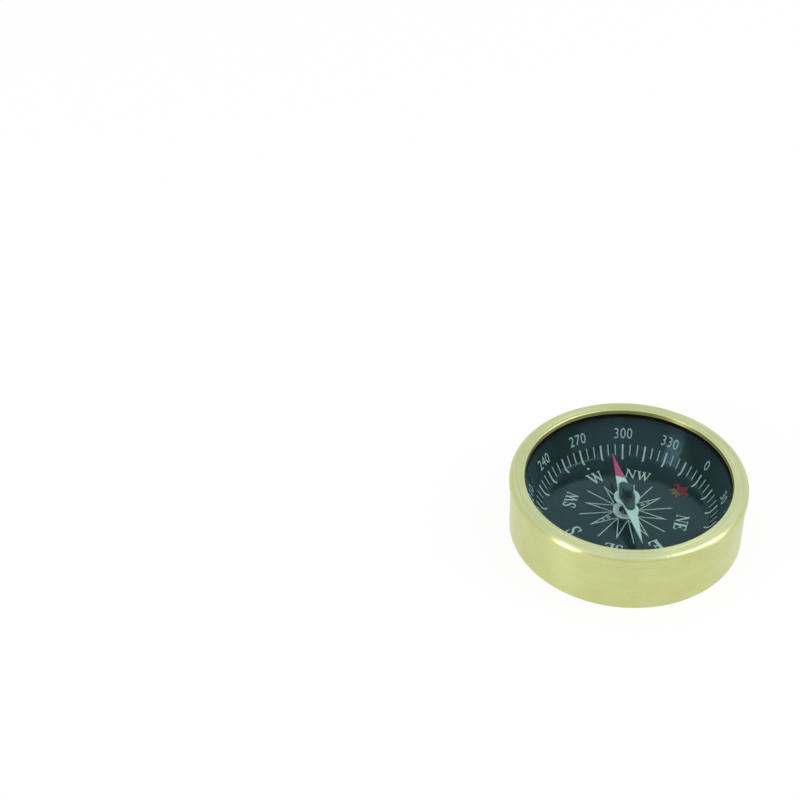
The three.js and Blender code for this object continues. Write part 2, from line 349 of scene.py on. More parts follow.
def paint(name, bright, worn, roughness):
    look = paintLook
    finish, tree, skin = startFinish(name)
    clouds = noise(tree, objectPlace(tree), *look["clouds"])
    grain = noise(tree, objectPlace(tree), *look["grain"])
    feed(tree, skin, {
        "Base Color": blendColours(tree, remap(tree, clouds, 0.0, look["cloudTone"]), bright, worn),
        "Roughness": remap(tree, grain, *roughness),
        "Specular IOR Level": look["gloss"],
        "Normal": bump(tree, grain, look),
    })
    return finish


mouldingLook = {
    "deep": (0.016, 0.042, 0.046, 1),
    "pale": (0.026, 0.062, 0.068, 1),
    "clouds": (900, 3.0),
    "grain": (5000, 3.0),
    "roughness": (0.24, 0.38),
    "gloss": 0.5,
    "glossTint": (0.6, 0.97, 1.0, 1),
    "bump": 0.06,
    "bumpDepth": 0.01 * mm,
}

packingLook = {
    "deep": (0.003, 0.003, 0.003, 1),
    "pale": (0.008, 0.008, 0.008, 1),
    "clouds": (6000, 4.0),
    "grain": (6000, 4.0),
    "roughness": (0.7, 0.92),
    "gloss": 0.2,
    "glossTint": (1, 1, 1, 1),
    "bump": 0.2,
    "bumpDepth": 0.02 * mm,
}


def blackFinish(name, look):
    finish, tree, skin = startFinish(name)
    clouds = noise(tree, objectPlace(tree), *look["clouds"])
    grain = noise(tree, objectPlace(tree), *look["grain"])
    feed(tree, skin, {
        "Base Color": blendColours(tree, clouds, look["deep"], look["pale"]),
        "Roughness": remap(tree, grain, *look["roughness"]),
        "Specular IOR Level": look["gloss"],
        "Specular Tint": look["glossTint"],
        "Normal": bump(tree, grain, look),
    })
    return finish


glassLook = {
    "tint": (0.95, 0.985, 0.98, 1),
    "bend": 1.15,
    "shine": (0, 0, 0, 1),
    "roughness": (0.0, 0.03),  # clean glass and faint wipe marks
    "wipes": (90, 5.0, 0.7),
    "wipeRange": (0.55, 0.8),
}

jewelLook = {
    **glassLook,
    "tint": (0.6, 0.82, 0.8, 1),
    "bend": 1.6,
    "shine": (1, 1, 1, 1),
    "roughness": (0.0, 0.05),
}


def clearGlass(name, look):
    finish, tree, skin = startFinish(name)
    wipes = noise(tree, objectPlace(tree), *look["wipes"])
    feed(tree, skin, {
        "Base Color": look["tint"],
        "Transmission Weight": 1.0,
        "IOR": look["bend"],
        "Specular Tint": look["shine"],
        "Roughness": remap(tree, wipes, *look["roughness"], *look["wipeRange"]),
    })
    # lamps shine through the glass, so that what lies under it is lit
    lampRay = addNode(tree, "ShaderNodeLightPath").outputs["Is Shadow Ray"]
    through = addNode(tree, "ShaderNodeBsdfTransparent", {"Color": look["tint"]})
    mixSurface(tree, lampRay, skin, through)
    return finish


caseBrass = turnedBrass("caseBrass", brassLook)
# painted light: a paler brass for the bezel's upward faces
litCrownBrass = turnedBrass("litCrownBrass", litCrownLook)
# painted shade: a darker brass for the inside of the lip
shadedLipBrass = turnedBrass("shadedLipBrass", shadedLipLook)
smallBrass = plainMetal("smallBrass", (0.72, 0.62, 0.30, 1), (0.58, 0.47, 0.2, 1), (0.24, 0.38))
satinNickel = plainMetal("satinNickel", (0.74, 0.93, 0.90, 1), (0.65, 0.83, 0.80, 1), (0.5, 0.64))
# painted shade: black metal for the pivot's cone and stem under the needle
shadedStemBlack = plainMetal("shadedStemBlack", (0.045, 0.06, 0.062, 1), (0.03, 0.04, 0.042, 1), (0.3, 0.45))
groundSteel = plainMetal("groundSteel", (0.5, 0.5, 0.51, 1), (0.38, 0.38, 0.4, 1), (0.16, 0.3))
dialBlack = dialLacquer(dialLook)
dialPaint = paint("dialPaint", (0.44, 0.66, 0.62, 1), (0.36, 0.54, 0.51, 1), (0.38, 0.52))
needlePaint = paint("needlePaint", (0.445, 0.69, 0.64, 1), (0.39, 0.61, 0.565, 1), (0.32, 0.46))
needleRed = paint("needleRed", (0.42, 0.068, 0.155, 1), (0.35, 0.05, 0.12, 1), (0.32, 0.46))
northRed = paint("northRed", (0.21, 0.028, 0.05, 1), (0.14, 0.016, 0.03, 1), (0.38, 0.52))
northGold = paint("northGold", (0.20, 0.15, 0.035, 1), (0.13, 0.10, 0.025, 1), (0.38, 0.52))
capBlack = blackFinish("blackMoulding", mouldingLook)
gasketBlack = blackFinish("blackPacking", packingLook)
crystalGlass = clearGlass("crystalGlass", glassLook)
jewelGlass = clearGlass("jewelGlass", jewelLook)
print("finishes made")


# Case

drumSpec = {
    "threadWall": 1.0 * mm,
    "threadDepth": 2.6 * mm,  # socket for the bezel, from the top face
    "ledgeRadius": 23.25 * mm,
    "ledgeHeight": 11.2 * mm,  # the dial's rim lies on it
    "boreRadius": 22.45 * mm,
    "plateGap": 0.05 * mm,
    "footRound": 0.15 * mm,
    "edgeRound": 0.12 * mm,
}


def makeDrum(spec):
    low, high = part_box("case_drum")
    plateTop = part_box("base_plate")[1]
    radius, top = high.x, high.z
    thread = radius - spec["threadWall"]
    rebate = plateTop.x + spec["plateGap"]
    shoulder = plateTop.z + spec["plateGap"]
    groove = top - spec["threadDepth"]
    outline = [
        (rebate, low.z, spec["edgeRound"]),
        (radius, low.z, spec["footRound"]),
        (radius, top, spec["edgeRound"]),
        (thread, top),
        (thread, groove),
        (spec["ledgeRadius"], groove),
        (spec["ledgeRadius"], spec["ledgeHeight"]),
        (spec["boreRadius"], spec["ledgeHeight"]),
        (spec["boreRadius"], shoulder),
        (rebate, shoulder),
    ]
    bm = turnOutline(outline, shop["caseSteps"])
    addPiece("caseDrum", bm, [caseBrass], "case", ["case_drum"])


plateSpec = {
    "edgeRound": 0.15 * mm,
    "dishRadius": 17.0 * mm,  # shallow turned recess underneath
    "dishDepth": 0.12 * mm,
    "dishSlope": 0.35 * mm,
}


def makeBasePlate(spec):
    low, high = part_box("base_plate")
    outline = [
        (0, low.z + spec["dishDepth"]),
        (spec["dishRadius"] - spec["dishSlope"], low.z + spec["dishDepth"]),
        (spec["dishRadius"], low.z),
        (high.x, low.z, spec["edgeRound"]),
        (high.x, high.z),
        (0, high.z),
    ]
    bm = turnOutline(outline, shop["caseSteps"])
    addPiece("basePlate", bm, [caseBrass], "case", ["base_plate"])


bezelSpec = {
    "rimBottom": 11.65 * mm,
    "spigotRadius": 23.95 * mm,
    "spigotBore": 23.35 * mm,
    "lipBottom": 13.1 * mm,
    "openingRadius": 21.9 * mm,
    "lipLean": 0.18 * mm,  # the lip widens towards the crown
    "lipRound": 0.18 * mm,
    "grooveRadius": 23.1 * mm,  # hairline turned in the crown
    "grooveWidth": 0.12 * mm,
    "grooveDepth": 0.03 * mm,
    "crownRound": 1.2 * mm,
    "tuckRound": 0.28 * mm,
    "litCrownSlope": 0.68,  # faces that look up more than this take the paler brass, painted light on the crown
    "shadedLipSlope": 0.75,  # faces over the glass that look in more than this take the darker brass, painted shade inside the lip
}


def makeBezel(spec):
    low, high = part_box("bezel_ring")
    radius, crown = high.x, high.z
    opening, groove = spec["openingRadius"], spec["grooveRadius"]
    halfGroove = spec["grooveWidth"] / 2
    outline = [
        (spec["spigotBore"], low.z),
        (spec["spigotRadius"], low.z),
        (spec["spigotRadius"], spec["rimBottom"]),
        (radius, spec["rimBottom"], spec["tuckRound"]),
        (radius, crown, spec["crownRound"]),
        (groove + halfGroove, crown),
        (groove, crown - spec["grooveDepth"]),
        (groove - halfGroove, crown),
        (opening + spec["lipLean"], crown, spec["lipRound"]),
        (opening, spec["lipBottom"]),
        (spec["spigotBore"], spec["lipBottom"]),
    ]
    bm = turnOutline(outline, shop["caseSteps"])
    for face in bm.faces:  # painted light: paler brass on the crown; painted shade: darker brass inside the lip
        middle = face.calc_center_median()
        inward = -face.normal.xy.dot(middle.xy.normalized())
        if middle.z > spec["lipBottom"] and inward > spec["shadedLipSlope"]:
            face.material_index = 2
        elif face.normal.z > spec["litCrownSlope"]:
            face.material_index = 1
    addPiece("bezelRing", bm, [caseBrass, litCrownBrass, shadedLipBrass], "case", ["bezel_ring"])


crystalSpec = {"topRound": 0.2 * mm, "underRound": 0.1 * mm}


def makeCrystal(spec):
    low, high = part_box("crystal")
    outline = [
        (0, low.z),
        (high.x, low.z, spec["underRound"]),
        (high.x, high.z, spec["topRound"]),
        (0, high.z),
    ]
    bm = turnOutline(outline, shop["caseSteps"])
    addPiece("crystalPane", bm, [crystalGlass], "case", ["crystal"])


gasketSpec = {"width": 1.5 * mm, "edgeRound": 0.05 * mm}


def makeGasket(spec):
    low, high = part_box("crystal_gasket")
    inner = high.x - spec["width"]
    outline = [
        (inner, low.z, spec["edgeRound"]),
        (high.x, low.z),
        (high.x, high.z),
        (inner, high.z, spec["edgeRound"]),
    ]
    bm = turnOutline(outline, shop["caseSteps"])
    addPiece("crystalGasket", bm, [gasketBlack], "case", ["crystal_gasket"])


makeDrum(drumSpec)
makeBasePlate(plateSpec)
makeBezel(bezelSpec)
makeCrystal(crystalSpec)
makeGasket(gasketSpec)
print("case made")


# Dial: the upper surface is one line of points, which the print follows too

dialSpec = {
    "thickness": 0.3 * mm,
    "rimWidth": 1.2 * mm,  # flat rim clamped under the gasket
    "wallRun": 4.25 * mm,  # lean of the degree wall
    "wallSag": 1.1 * mm,  # twice the depth of the wall's hollow
    "rimRound": 0.3 * mm,  # where the wall turns over into the rim
    "creaseRadius": 1.2 * mm,  # where the floor turns up into the wall
    "creaseSteps": 10,
    "wallSteps": 24,
    "holeRadius": 1.1 * mm,
}

dialLow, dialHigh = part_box("dial_cup")
dialFloor = dialLow.z + dialSpec["thickness"]
dialRise = dialHigh.z - dialFloor
wallTop = dialHigh.x - dialSpec["rimWidth"]
wallFoot = wallTop - dialSpec["wallRun"]


def dialLine(spec):
    steepness = dialRise - 2 * spec["wallSag"]
    slope = math.atan2(steepness, spec["wallRun"])
    tangent = spec["creaseRadius"] * math.tan(slope / 2)
    # the second point keeps the floor flat up to the crease
    line = [Vector((spec["holeRadius"], dialFloor)), Vector((wallFoot - 2 * tangent, dialFloor))]
    for angle in sweep(0, slope, spec["creaseSteps"]):
        radius = wallFoot - tangent + spec["creaseRadius"] * math.sin(angle)
        line.append(Vector((radius, dialFloor + spec["creaseRadius"] * (1 - math.cos(angle)))))
    first = tangent / math.hypot(spec["wallRun"], steepness)
    for step in range(1, spec["wallSteps"] + 1):
        share = first + (1 - first) * step / spec["wallSteps"]
        sag = 2 * spec["wallSag"] * share * (1 - share)
        line.append(Vector((wallFoot + spec["wallRun"] * share, dialFloor + dialRise * share - sag)))
    return line


surface = dialLine(dialSpec)


def travelTo(radius):  # way along the surface from the hole out to a radius
    way = 0.0
    for start, end in zip(surface, surface[1:]):
        if radius <= end.x:
            return way + (end - start).length * (radius - start.x) / (end.x - start.x)
        way += (end - start).length
    return way


def surfaceAt(way):  # point and normal after that way, as radius and height
    for start, end in zip(surface, surface[1:]):
        length = (end - start).length
        if way <= length or end is surface[-1]:
            along = (end - start) / length
            return start + along * way, Vector((-along.y, along.x))
        way -= length


def makeDial(spec):
    shift = Vector((spec["thickness"], -spec["thickness"]))
    under = [point + shift for point in surface[2:]]
    outline = [(spec["holeRadius"], dialLow.z)]
    outline += [(min(point.x, wallTop + spec["thickness"]), point.y) for point in under]
    outline += [(dialHigh.x, dialHigh.z - spec["thickness"]), (dialHigh.x, dialHigh.z)]
    outline.append((wallTop, dialHigh.z, spec["rimRound"]))
    outline += [tuple(point) for point in reversed(surface[:-1])]
    bm = turnOutline(outline, shop["caseSteps"])
    addPiece("dialCup", bm, [dialBlack], "case", ["dial_cup"])


makeDial(dialSpec)

printSpec = {
    "lift": 0.004 * mm,  # underside of the ink over the lacquer
    "thickness": 0.03 * mm,
    "curvePoints": 9,  # on each curve of an outline
}


def bearingTurn(bearing):
    return Matrix.Rotation(-math.radians(bearing), 3, "Z")


def thickenPrint(bm):
    bm.normal_update()
    bmesh.ops.reverse_faces(bm, faces=[face for face in bm.faces if face.normal.z < 0])
    bmesh.ops.triangulate(bm, faces=[face for face in bm.faces if len(face.verts) > 4])
    bmesh.ops.solidify(bm, geom=bm.faces[:], thickness=-printSpec["thickness"])
    bmesh.ops.recalc_face_normals(bm, faces=bm.faces[:])


scaleSpec = {
    "step": 5,  # degrees
    "longEvery": 15,
    "outer": 19.35 * mm,
    "shortInner": 18.0 * mm,
    "longInner": 16.9 * mm,
    "shortWidth": 0.2 * mm,
    "longWidth": 0.36 * mm,
    "pace": 0.2 * mm,
}


def tickStrip(bm, bearing, inner, outer, width, pace):
    turn = bearingTurn(bearing)
    start, end = travelTo(inner), travelTo(outer)
    count = max(1, round((end - start) / pace))
    edge = None
    for step in range(count + 1):
        point, normal = surfaceAt(start + (end - start) * step / count)
        lifted = point + normal * printSpec["lift"]
        spots = [turn @ Vector((side * width / 2, lifted.x, lifted.y)) for side in (-1, 1)]
        if edge is None:
            edge = bm.edges.new([bm.verts.new(spot) for spot in spots])
            continue
        made = bmesh.ops.extrude_edge_only(bm, edges=[edge])["geom"]
        edge = next(item for item in made if isinstance(item, bmesh.types.BMEdge))
        ends = sorted(edge.verts, key=lambda vert: (vert.co - spots[0]).length)
        for vert, spot in zip(ends, spots):
            vert.co = spot


def makeScale(spec):
    bm = bmesh.new()
    for bearing in range(0, 360, spec["step"]):
        size = "short" if bearing % spec["longEvery"] else "long"
        tickStrip(bm, bearing, spec[size + "Inner"], spec["outer"], spec[size + "Width"], spec["pace"])
    thickenPrint(bm)
    addPiece("dialScale", bm, [dialPaint], "case")


numeralSpec = {
    "step": 30,
    "radius": 20.55 * mm,
    "height": 2.35 * mm,
    "narrow": 0.79,
    "thin": 0.006,  # taken off each edge of a stroke, in letter sizes
    "spread": 1.08,
    "curveSteps": 5,
}


def flatWords(words, spec):
    curve = bpy.data.curves.new("words", "FONT")
    curve.body = words
    curve.resolution_u = spec["curveSteps"]
    curve.offset = -spec["thin"]
    curve.space_character = spec["spread"]
    holder = bpy.data.objects.new("words", curve)
    scene.collection.objects.link(holder)
    shown = holder.evaluated_get(bpy.context.evaluated_depsgraph_get())
    mesh = bpy.data.meshes.new_from_object(shown)
    bpy.data.objects.remove(holder)
    low = Vector([min(vert.co[axis] for vert in mesh.vertices) for axis in range(2)])
    high = Vector([max(vert.co[axis] for vert in mesh.vertices) for axis in range(2)])
    grow = spec["height"] / (high.y - low.y)
    middle = (low + high) / 2
    for vert in mesh.vertices:
        vert.co = ((vert.co.x - middle.x) * grow * spec["narrow"], (vert.co.y - middle.y) * grow, 0)
    return mesh


def makeNumerals(spec):
    bm = bmesh.new()
    middle = travelTo(spec["radius"])
    for bearing in range(0, 360, spec["step"]):
        before = len(bm.verts)
        bm.from_mesh(flatWords(str(bearing), spec))
        bm.verts.ensure_lookup_table()
        for vert in bm.verts[before:]:  # bent round the degree wall
            point, normal = surfaceAt(middle + vert.co.y)
            lifted = point + normal * printSpec["lift"]
            angle = math.radians(bearing) + vert.co.x / spec["radius"]
            vert.co = (lifted.x * math.sin(angle), lifted.x * math.cos(angle), lifted.y)
    bmesh.ops.remove_doubles(bm, verts=bm.verts[:], dist=shop["weld"])
    thickenPrint(bm)
    addPiece("dialNumerals", bm, [dialPaint], "case")


# Flat print on the floor of the dial

def traceOutline(outline):  # an item is a corner (x, y), or a curve: two handles and an end
    spots = []
    for item in outline:
        if len(item) == 2:
            spots.append(Vector(item))
        else:
            handles = [Vector(item[start:start + 2]) for start in (0, 2, 4)]
            curve = interpolate_bezier(spots[-1], *handles, printSpec["curvePoints"])
            spots += [spot.to_2d() for spot in curve[1:]]
    return spots


def arc(place, radius, turns):  # round a point at that place on the north line
    return [(radius * math.cos(turn), place + radius * math.sin(turn)) for turn in turns]


def printShape(bm, spots, bearing, finish=0):
    turn = bearingTurn(bearing)
    height = dialFloor + printSpec["lift"]
    verts = [bm.verts.new(turn @ Vector((spot[0], spot[1], height))) for spot in spots]
    bm.faces.new(verts).material_index = finish


letterShapes = {  # width and outline, for a cap height of 1
    "E": (0.82, [
        (0, 0), (0.78, 0), (0.82, 0.3), (0.77, 0.3), (0.72, 0.15, 0.67, 0.07, 0.55, 0.07), (0.34, 0.07),
        (0.34, 0.47), (0.42, 0.47), (0.5, 0.47, 0.53, 0.42, 0.53, 0.35), (0.58, 0.35), (0.58, 0.67),
        (0.53, 0.67), (0.53, 0.6, 0.5, 0.54, 0.42, 0.54), (0.34, 0.54), (0.34, 0.93), (0.55, 0.93),
        (0.66, 0.93, 0.71, 0.87, 0.74, 0.73), (0.79, 0.73), (0.77, 1), (0, 1), (0, 0.955), (0.1, 0.93),
        (0.1, 0.07), (0, 0.045),
    ]),
    "N": (0.93, [
        (0.02, 0), (0.31, 0), (0.31, 0.045), (0.2, 0.08), (0.2, 0.79), (0.75, 0), (0.82, 0), (0.82, 0.92),
        (0.93, 0.955), (0.93, 1), (0.64, 1), (0.64, 0.955), (0.75, 0.92), (0.75, 0.24), (0.23, 1), (0, 1),
        (0, 0.955), (0.09, 0.93), (0.13, 0.87), (0.13, 0.08), (0.02, 0.045),
    ]),
    "W": (1.22, [
        (0, 1), (0, 0.955), (0.07, 0.92), (0.34, 0), (0.42, 0), (0.6, 0.62), (0.79, 0), (0.87, 0),
        (1.13, 0.92), (1.22, 0.955), (1.22, 1), (0.94, 1), (0.94, 0.955), (1.05, 0.92), (0.86, 0.26),
        (0.66, 0.92), (0.74, 0.955), (0.74, 1), (0.45, 1), (0.45, 0.955), (0.52, 0.92), (0.55, 0.8),
        (0.42, 0.25), (0.22, 0.92), (0.3, 0.955), (0.3, 1),
    ]),
    "S": (0.6, [
        (0.535, 1), (0.485, 1), (0.455, 0.955), (0.4, 1, 0.34, 1.02, 0.27, 1.02),
        (0.13, 1.02, 0.04, 0.91, 0.04, 0.76), (0.04, 0.58, 0.16, 0.52, 0.27, 0.45),
        (0.38, 0.38, 0.43, 0.31, 0.43, 0.22), (0.43, 0.11, 0.38, 0.05, 0.29, 0.05),
        (0.16, 0.05, 0.085, 0.17, 0.055, 0.33), (0.015, 0.33), (0.015, -0.02), (0.06, -0.02),
        (0.095, 0.035), (0.16, 0, 0.23, -0.02, 0.3, -0.02), (0.47, -0.02, 0.58, 0.1, 0.58, 0.26),
        (0.58, 0.43, 0.46, 0.52, 0.33, 0.6), (0.23, 0.665, 0.18, 0.71, 0.18, 0.8),
        (0.18, 0.89, 0.22, 0.95, 0.29, 0.95), (0.4, 0.95, 0.465, 0.83, 0.495, 0.69), (0.535, 0.69),
    ]),
}

letterSpec = {
    "winds": {"NE": 45, "E": 90, "SE": 135, "S": 180, "SW": 225, "W": 270, "NW": 315},
    "radius": 12.1 * mm,
    "southRadius": 13.1 * mm,
    "height": {1: 3.3 * mm, 2: 2.75 * mm},  # by the number of letters
    "narrow": 0.92,
    "gap": 0.07,  # between two letters, in cap heights
    "dotPlace": 15.45 * mm,
    "dotRadius": 0.3 * mm,
    "dotSteps": 20,
}


def makeLetters(spec):
    bm = bmesh.new()
    for wind, bearing in spec["winds"].items():
        height = spec["height"][len(wind)]
        length = sum(letterShapes[letter][0] for letter in wind) + spec["gap"] * (len(wind) - 1)
        across = -length / 2
        radius = spec["southRadius"] if wind == "S" else spec["radius"]
        for letter in wind:
            width, outline = letterShapes[letter]
            spots = [
                ((spot.x + across) * height * spec["narrow"], radius + (spot.y - 0.5) * height)
                for spot in traceOutline(outline)
            ]
            printShape(bm, spots, bearing)
            across += width + spec["gap"]
        if len(wind) == 1:  # a dot outside each of the cardinal letters
            turns = sweep(0, math.tau, spec["dotSteps"])
            printShape(bm, arc(spec["dotPlace"], spec["dotRadius"], turns[:-1]), bearing)
    thickenPrint(bm)
    addPiece("dialLetters", bm, [dialPaint], "case")


roseSpec = {
    "spikes": 8,
    "spikeTip": 9.1 * mm,
    "spikeFoot": 2.77 * mm,
    "spikeHalf": 1.13 * mm,
    "rayFoot": 2.9 * mm,
    "rayTip": 10.1 * mm,
    "line": 0.2 * mm,
    "ringBearings": (0, 180),
    "ringPlaces": (4.3 * mm, 5.6 * mm),
    "ringRadius": 0.52 * mm,  # at the foot of a spike
    "ringBore": 0.6,  # share of the ring's radius
    "ringSteps": 12,  # in each half
}


def makeRose(spec):
    bm = bmesh.new()
    tip, foot, half, line = spec["spikeTip"], spec["spikeFoot"], spec["spikeHalf"], spec["line"]
    lean = line * math.hypot(tip - foot, half) / (tip - foot)  # line width measured across the spike
    innerTip = tip - lean * (tip - foot) / half
    inside = [(lean - half, foot), (0, innerTip), (half - lean, foot)]
    spike = [(-half, foot), *inside, (half, foot), (0, tip)]
    ends = ((-1, spec["rayFoot"]), (1, spec["rayFoot"]), (1, spec["rayTip"]), (-1, spec["rayTip"]))
    ray = [(side * line / 2, way) for side, way in ends]
    turn = 360 / spec["spikes"]
    for index in range(spec["spikes"]):  # a ray stands between two spikes
        printShape(bm, spike, index * turn)
        printShape(bm, ray, (index + 0.5) * turn)
    for bearing in spec["ringBearings"]:  # small rings in the north and the south spike
        for place in spec["ringPlaces"]:
            radius = spec["ringRadius"] * (tip - place) / (tip - foot)
            for start in (0, math.pi):
                turns = sweep(start, start + math.pi, spec["ringSteps"])
                bore = arc(place, radius * spec["ringBore"], reversed(turns))
                printShape(bm, arc(place, radius, turns) + bore, bearing)
    bmesh.ops.remove_doubles(bm, verts=bm.verts[:], dist=shop["weld"])
    thickenPrint(bm)
    addPiece("compassRose", bm, [dialPaint], "case")


northShapes = {  # right halves in millimetres from the dial's centre; 0 is red and 1 is gold
    "middlePetal": (0, [
        (0, 13.35), (0.3, 13.4), (0.5, 14.0, 1.05, 14.3, 0.75, 15.1), (0.5, 15.7, 0.1, 15.9, 0, 16.4),
    ]),
    "sidePetal": (0, [
        (0.42, 13.35), (0.85, 13.35), (1.1, 13.9, 1.5, 14.25, 1.75, 14.1),
        (1.95, 13.95, 1.75, 13.7, 1.9, 13.6), (2.3, 13.5, 2.5, 14.1, 2.2, 14.6),
        (1.9, 15.1, 1.2, 15.0, 0.95, 14.6), (0.7, 14.2, 0.5, 13.8, 0.42, 13.35),
    ]),
    "band": (1, [(0, 12.85), (1.25, 12.85), (1.35, 13.05), (1.25, 13.25), (0, 13.25)]),
    "foot": (1, [(0, 11.6), (0.2, 11.95, 0.5, 12.1, 0.42, 12.75), (0, 12.75)]),
    "sideFoot": (1, [
        (0.55, 12.75), (0.6, 12.3, 0.9, 11.95, 1.3, 12.0), (1.6, 12.05, 1.55, 12.4, 1.3, 12.35),
        (1.1, 12.3, 1.05, 12.5, 1.0, 12.75),
    ]),
}


def makeNorthMark(shapes):
    bm = bmesh.new()
    for finish, outline in shapes.values():
        right = [(spot.x * mm, spot.y * mm) for spot in traceOutline(outline)]
        left = [(-x, y) for x, y in reversed(right)]
        closed = right[0][0] == 0  # its two halves meet on the middle line
        for spots in [right + left] if closed else [right, left]:
            steps = zip(spots, spots[-1:] + spots)
            clean = [spot for spot, last in steps if math.dist(spot, last) > shop["weld"]]
            printShape(bm, clean, 0, finish)
    thickenPrint(bm)
    addPiece("northMark", bm, [northRed, northGold], "case")


makeScale(scaleSpec)
makeNumerals(numeralSpec)
makeLetters(letterSpec)
makeRose(roseSpec)
makeNorthMark(northShapes)
print("dial made")


# Pivot

postSpec = {
    "footRadius": 2.8 * mm,
    "footTop": 4.15 * mm,
    "footBottom": 3.75 * mm,
    "coneTop": 4.85 * mm,
    "coneRadius": 1.5 * mm,
    "stemRadius": 0.9 * mm,
    "shankRadius": 1.0 * mm,
    "boreRadius": 0.45 * mm,
    "boreDepth": 1.6 * mm,
    "footRound": 0.15 * mm,
    "stemRound": 0.12 * mm,
}


def makePost(spec):
    low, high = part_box("pivot_post")
    bore = high.z - spec["boreDepth"]
    outline = [
        (0, low.z),
        (spec["shankRadius"], low.z),
        (spec["shankRadius"], spec["footBottom"]),
        (spec["footRadius"], spec["footBottom"]),
        (spec["footRadius"], spec["footTop"], spec["footRound"]),
        (spec["coneRadius"], spec["footTop"]),
        (spec["stemRadius"], spec["coneTop"]),
        (spec["stemRadius"], high.z, spec["stemRound"]),
        (spec["boreRadius"], high.z),
        (spec["boreRadius"], bore),
        (0, bore),
    ]
    bm = turnOutline(outline, shop["smallSteps"])
    for face in bm.faces:  # painted shade: the cone and the stem take a black finish for the shade under the needle and cap
        middle = face.calc_center_median()
        face.material_index = int(middle.z > spec["footTop"] + shop["weld"])
    addPiece("pivotPost", bm, [satinNickel, shadedStemBlack], "case", ["pivot_post"])


pinSpec = {"pointLength": 1.3 * mm, "tipRadius": 0.05 * mm, "footRound": 0.06 * mm}


def makePin(spec):
    low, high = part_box("pivot_pin")
    tip = spec["tipRadius"]
    outline = [
        (0, low.z),
        (high.x, low.z, spec["footRound"]),
        (high.x, high.z - spec["pointLength"]),
        (tip, high.z - tip / 2),
        (tip / 2, high.z),
        (0, high.z),
    ]
    bm = turnOutline(outline, shop["smallSteps"])
    addPiece("pivotPin", bm, [groundSteel], "case", ["pivot_pin"])


washerSpec = {"holeRadius": 1.1 * mm, "edgeRound": 0.08 * mm}


def makeWasher(spec):
    low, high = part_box("pivot_washer")
    outline = [
        (spec["holeRadius"], low.z),
        (high.x, low.z, spec["edgeRound"]),
        (high.x, high.z, spec["edgeRound"]),
        (spec["holeRadius"], high.z),
    ]
    bm = turnOutline(outline, shop["smallSteps"])
    addPiece("pivotWasher", bm, [smallBrass], "case", ["pivot_washer"])


nutSpec = {"flats": 6, "holeRadius": 1.05 * mm, "edgeRound": 0.12 * mm}


def makeNut(spec):
    low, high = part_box("pivot_nut")
    spots = [vert.co.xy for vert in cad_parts["pivot_nut"].data.vertices]
    corner = max(spots, key=lambda spot: spot.length)
    bm = bmesh.new()
    rim = bmesh.ops.create_circle(bm, segments=spec["flats"], radius=corner.length)["verts"]
    turn = Matrix.Rotation(rim[0].co.xy.angle_signed(corner), 3, "Z")
    bmesh.ops.rotate(bm, verts=rim, cent=(0, 0, 0), matrix=turn.inverted())
    bmesh.ops.create_circle(bm, segments=shop["holeSteps"], radius=spec["holeRadius"])
    bmesh.ops.triangle_fill(bm, use_beauty=True, edges=bm.edges[:], normal=(0, 0, 1))
    bmesh.ops.translate(bm, verts=bm.verts[:], vec=(0, 0, low.z))
    raiseFlat(bm, high.z - low.z)
    softenTop(bm, high.z, spec["edgeRound"])
    addPiece("pivotNut", bm, [smallBrass], "case", ["pivot_nut"])


makePost(postSpec)
makePin(pinSpec)
makeWasher(washerSpec)
makeNut(nutSpec)
print("pivot made")


# Needle: made along the dial's north line, then turned to its heading

needleSpec = {
    "heading": 289.4,
    "halfWidth": 1.7 * mm,  # of the two long sides, carried on to the middle
    "hubRadius": 2.75 * mm,
    "holeRadius": 1.25 * mm,
    "hubSteps": 36,
    "edgeRound": 0.05 * mm,
    "redFrom": 6.4 * mm,
    "redSlant": math.radians(31),
}


def turnToHeading(bm):
    matrix = bearingTurn(needleSpec["heading"])
    bmesh.ops.rotate(bm, verts=bm.verts[:], cent=(0, 0, 0), matrix=matrix)


def bladeOutline(spec, reach):
    half, hub = spec["halfWidth"], spec["hubRadius"]
    taper = half / reach
    root = math.sqrt((taper * half) ** 2 - (1 + taper ** 2) * (half ** 2 - hub ** 2))
    meet = (taper * half + root) / (1 + taper ** 2)  # where a long side runs into the hub
    first = math.atan2(half - taper * meet, meet)
    spots = []
    for side in (0, math.pi):
        spots.append((reach * math.sin(side), reach * math.cos(side)))
        for angle in sweep(side + first, side + math.pi - first, spec["hubSteps"]):
            spots.append((hub * math.sin(angle), hub * math.cos(angle)))
    return spots


def makeBlade(spec):
    low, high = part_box("needle_blade")
    reach = max(vert.co.xy.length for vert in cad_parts["needle_blade"].data.vertices)
    bm = bmesh.new()
    verts = [bm.verts.new((x, y, low.z)) for x, y in bladeOutline(spec, reach)]
    for index, vert in enumerate(verts):
        bm.edges.new((verts[index - 1], vert))
    hole = bmesh.ops.create_circle(bm, segments=shop["holeSteps"], radius=spec["holeRadius"])["verts"]
    bmesh.ops.translate(bm, verts=hole, vec=(0, 0, low.z))
    bmesh.ops.triangle_fill(bm, use_beauty=True, edges=bm.edges[:], normal=(0, 0, 1))
    raiseFlat(bm, high.z - low.z)
    softenTop(bm, high.z, spec["edgeRound"])
    border = Vector((0, spec["redFrom"], 0))
    across = Vector((math.sin(spec["redSlant"]), math.cos(spec["redSlant"]), 0))
    bmesh.ops.bisect_plane(
        bm, geom=bm.verts[:] + bm.edges[:] + bm.faces[:], dist=shop["weld"],
        plane_co=border, plane_no=across,
    )
    for face in bm.faces:
        face.material_index = int((face.calc_center_median() - border).dot(across) > 0)
    turnToHeading(bm)
    addPiece("needleBlade", bm, [needlePaint, needleRed], "needle", ["needle_blade"])


